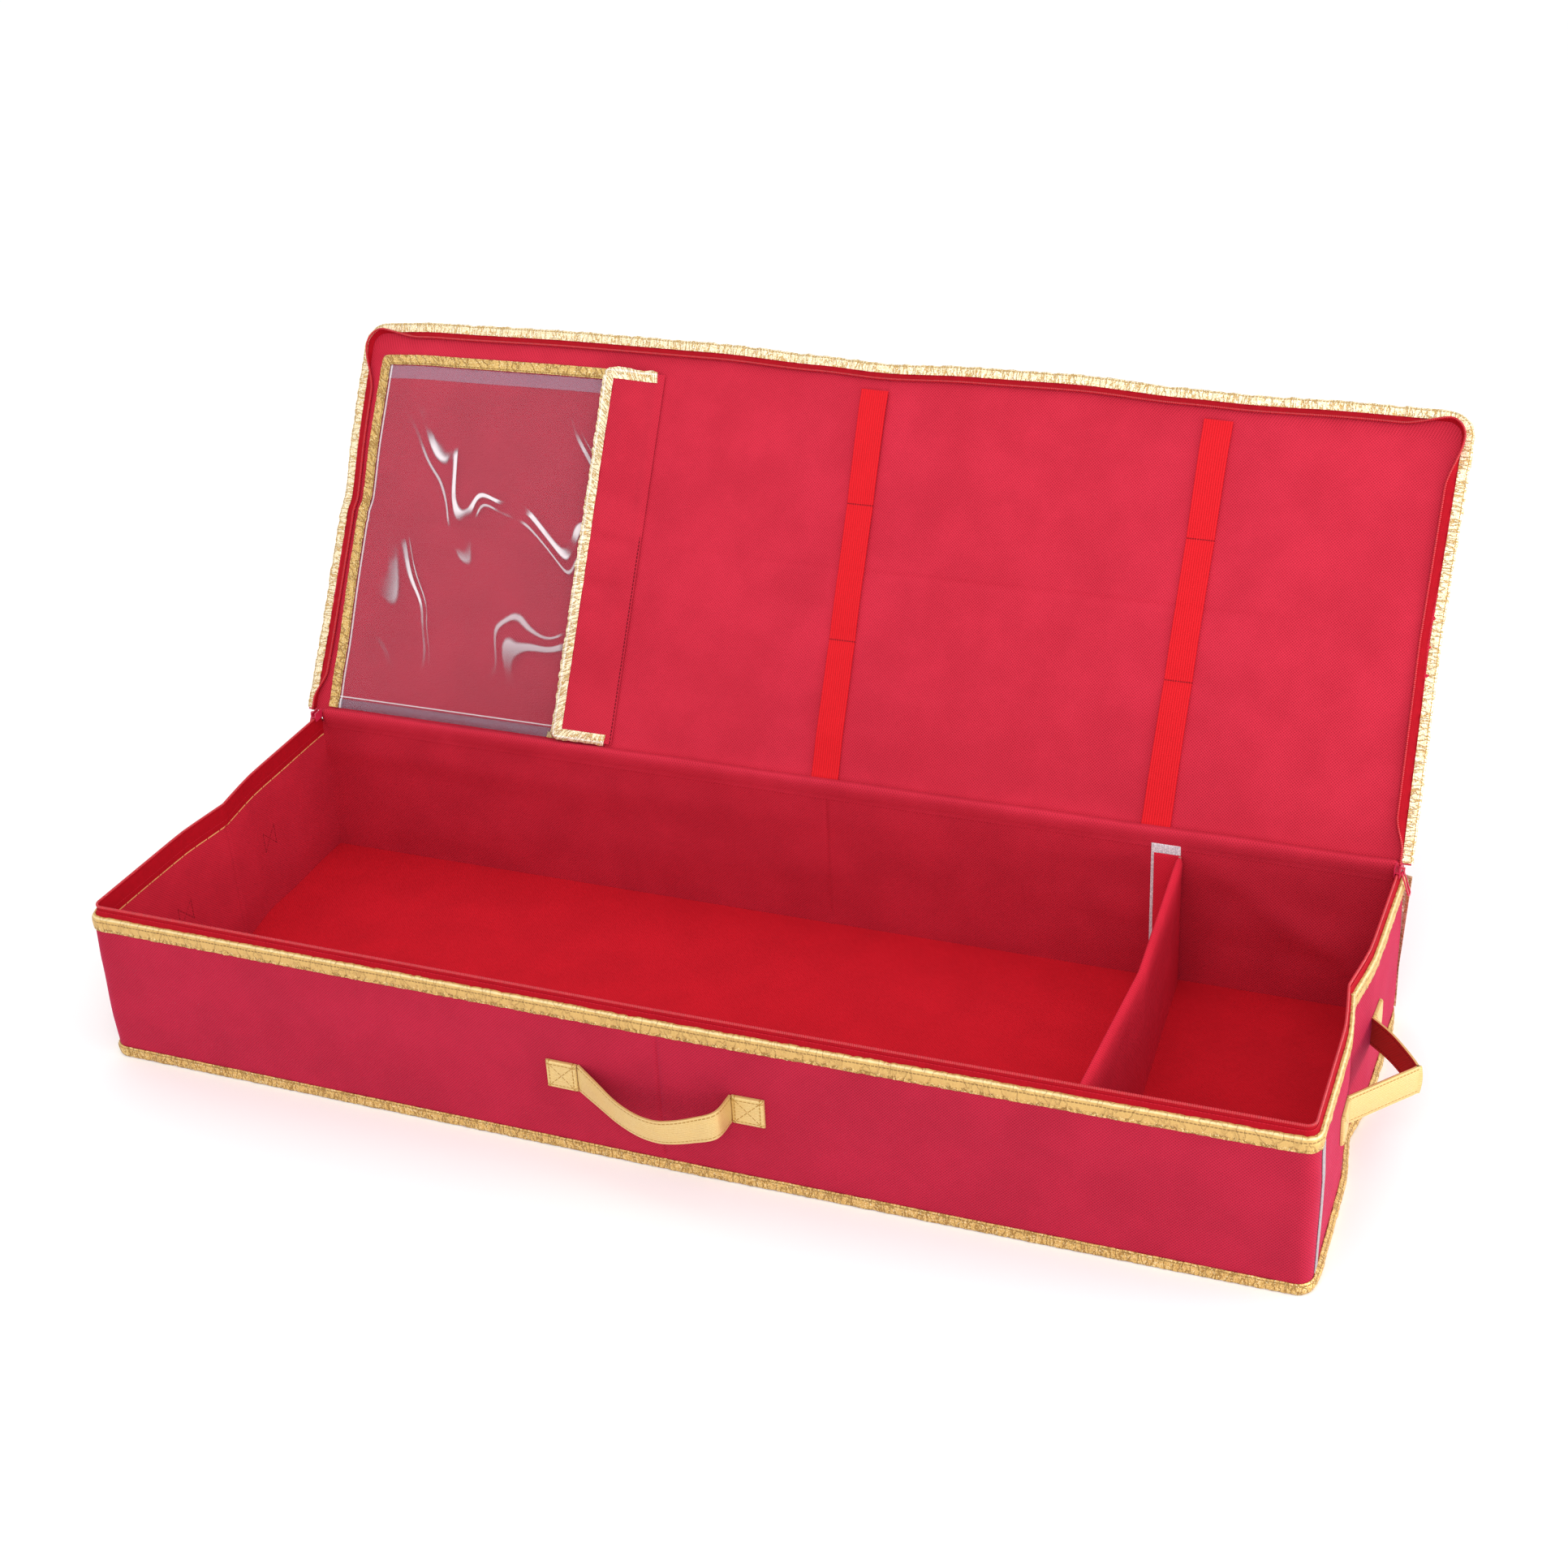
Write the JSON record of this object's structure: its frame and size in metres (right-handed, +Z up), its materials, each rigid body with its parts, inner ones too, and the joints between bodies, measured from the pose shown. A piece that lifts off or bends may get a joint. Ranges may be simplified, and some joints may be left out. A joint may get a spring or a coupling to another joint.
{
  "type": "gift wrap organizer",
  "caption": "Long soft-sided storage case with a zip-round lid, clear lid pocket, elastic straps, lift-out divider and webbing handles, shown open.",
  "frame": {"origin": "middle of the flat underside", "axes": "+X along the case, +Y from the front wall to the hinged rear wall, +Z up"},
  "size_m": [1.1272, 0.6198, 0.473],
  "materials": {
    "cover_cloth": "embossed nonwoven red cloth, matte",
    "lining_cloth": "embossed nonwoven deep red cloth, matte",
    "stiff_board": "grey chipboard stiffener",
    "gold_binding": "crinkled metallic gold tape",
    "gold_webbing": "metallic gold webbing with stitched edges",
    "zip_tape": "woven red zip tape",
    "zip_chain": "red coil chain",
    "slider_enamel": "red enamel",
    "clear_vinyl": "clear glossy film with soft wrinkles",
    "elastic_band": "ribbed red elastic",
    "hook_tape": "white hook tape"
  },
  "bodies": {
    "case": {"bottom_cover": "cover_cloth", "floor_board_left": "stiff_board", "floor_board_right": "stiff_board", "floor_lining": "lining_cloth", "front_cover": "cover_cloth", "front_board_left": "stiff_board", "front_board_right": "stiff_board", "front_lining": "lining_cloth", "back_cover": "cover_cloth", "back_board_left": "stiff_board", "back_board_right": "stiff_board", "back_lining": "lining_cloth", "left_cover": "cover_cloth", "left_board_front": "stiff_board", "left_board_rear": "stiff_board", "left_lining": "lining_cloth", "right_cover": "cover_cloth", "right_board_front": "stiff_board", "right_board_rear": "stiff_board", "right_lining": "lining_cloth", "bottom_binding": "gold_binding", "top_binding": "gold_binding", "rear_binding_left": "gold_binding", "rear_binding_right": "gold_binding", "base_zipper_tape": "zip_tape", "base_zipper_chain": "zip_chain", "hinge_strip": "cover_cloth", "corner_tape_right": "hook_tape", "corner_tape_left": "hook_tape", "divider_hook_tape_rear": "hook_tape", "divider_hook_tape_front": "hook_tape", "front_handle_pad_left": "gold_webbing", "front_handle_pad_right": "gold_webbing", "right_handle_pad_front": "gold_webbing", "right_handle_pad_rear": "gold_webbing", "left_handle_pad_front": "gold_webbing", "left_handle_pad_rear": "gold_webbing"},
    "lid": {"lid_cover": "cover_cloth", "lid_board_left": "stiff_board", "lid_board_right": "stiff_board", "lid_lining": "lining_cloth", "lid_binding": "gold_binding", "lid_zipper_tape": "zip_tape", "lid_zipper_chain": "zip_chain", "pocket_window": "clear_vinyl", "pocket_binding": "gold_binding", "elastic_strap_left": "elastic_band", "elastic_strap_right": "elastic_band"},
    "flap": {"pocket_flap": "lining_cloth", "flap_binding": "gold_binding"},
    "divider": {"divider_cover": "lining_cloth", "divider_board": "stiff_board"},
    "front_handle": {"front_handle_strap": "gold_webbing"},
    "right_handle": {"right_handle_strap": "gold_webbing"},
    "left_handle": {"left_handle_strap": "gold_webbing"},
    "right_slider_body": {"right_slider": "slider_enamel"},
    "left_slider_body": {"left_slider": "slider_enamel"},
    "right_pull_body": {"right_pull": "slider_enamel"},
    "left_pull_body": {"left_pull": "slider_enamel"}
  },
  "joints": [
    {"name": "lid_hinge", "type": "hinge", "parent": "case", "child": "lid", "pos_m": [0, 0.1865, 0.1503], "axis": [1, 0, 0], "range_deg": [0, 121]},
    {"name": "flap_hinge", "type": "hinge", "parent": "lid", "child": "flap", "pos_m": [-0.207, 0.19319, 0.14628], "axis": [0, 0.515, 0.8572], "range_deg": [0, 150]},
    {"name": "divider_lift", "type": "slide", "parent": "case", "child": "divider", "axis": [0, 0, -1], "range_m": [-0.14, 0]},
    {"name": "front_handle_swing", "type": "hinge", "parent": "case", "child": "front_handle", "pos_m": [0.0033, -0.19372, 0.0862], "axis": [-1, 0, 0], "range_deg": [0, 90]},
    {"name": "right_handle_swing", "type": "hinge", "parent": "case", "child": "right_handle", "pos_m": [0.51683, 0, 0.0857], "axis": [0, -1, 0], "range_deg": [0, 90]},
    {"name": "left_handle_swing", "type": "hinge", "parent": "case", "child": "left_handle", "pos_m": [-0.51683, 0, 0.0857], "axis": [0, 1, 0], "range_deg": [0, 90]},
    {"name": "right_zip_slide", "type": "slide", "parent": "case", "child": "right_slider_body", "axis": [-0.0132, -0.9999, 0], "range_m": [0, 0.1]},
    {"name": "left_zip_slide", "type": "slide", "parent": "case", "child": "left_slider_body", "axis": [0.0132, -0.9999, 0], "range_m": [0, 0.1]},
    {"name": "right_pull_swing", "type": "hinge", "parent": "right_slider_body", "child": "right_pull_body", "pos_m": [0.51635, 0.17845, 0.1499], "axis": [-0.0132, -0.9999, 0], "range_deg": [0, 70]},
    {"name": "left_pull_swing", "type": "hinge", "parent": "left_slider_body", "child": "left_pull_body", "pos_m": [-0.51635, 0.17845, 0.1499], "axis": [-0.0132, 0.9999, 0], "range_deg": [0, 70]}
  ]
}
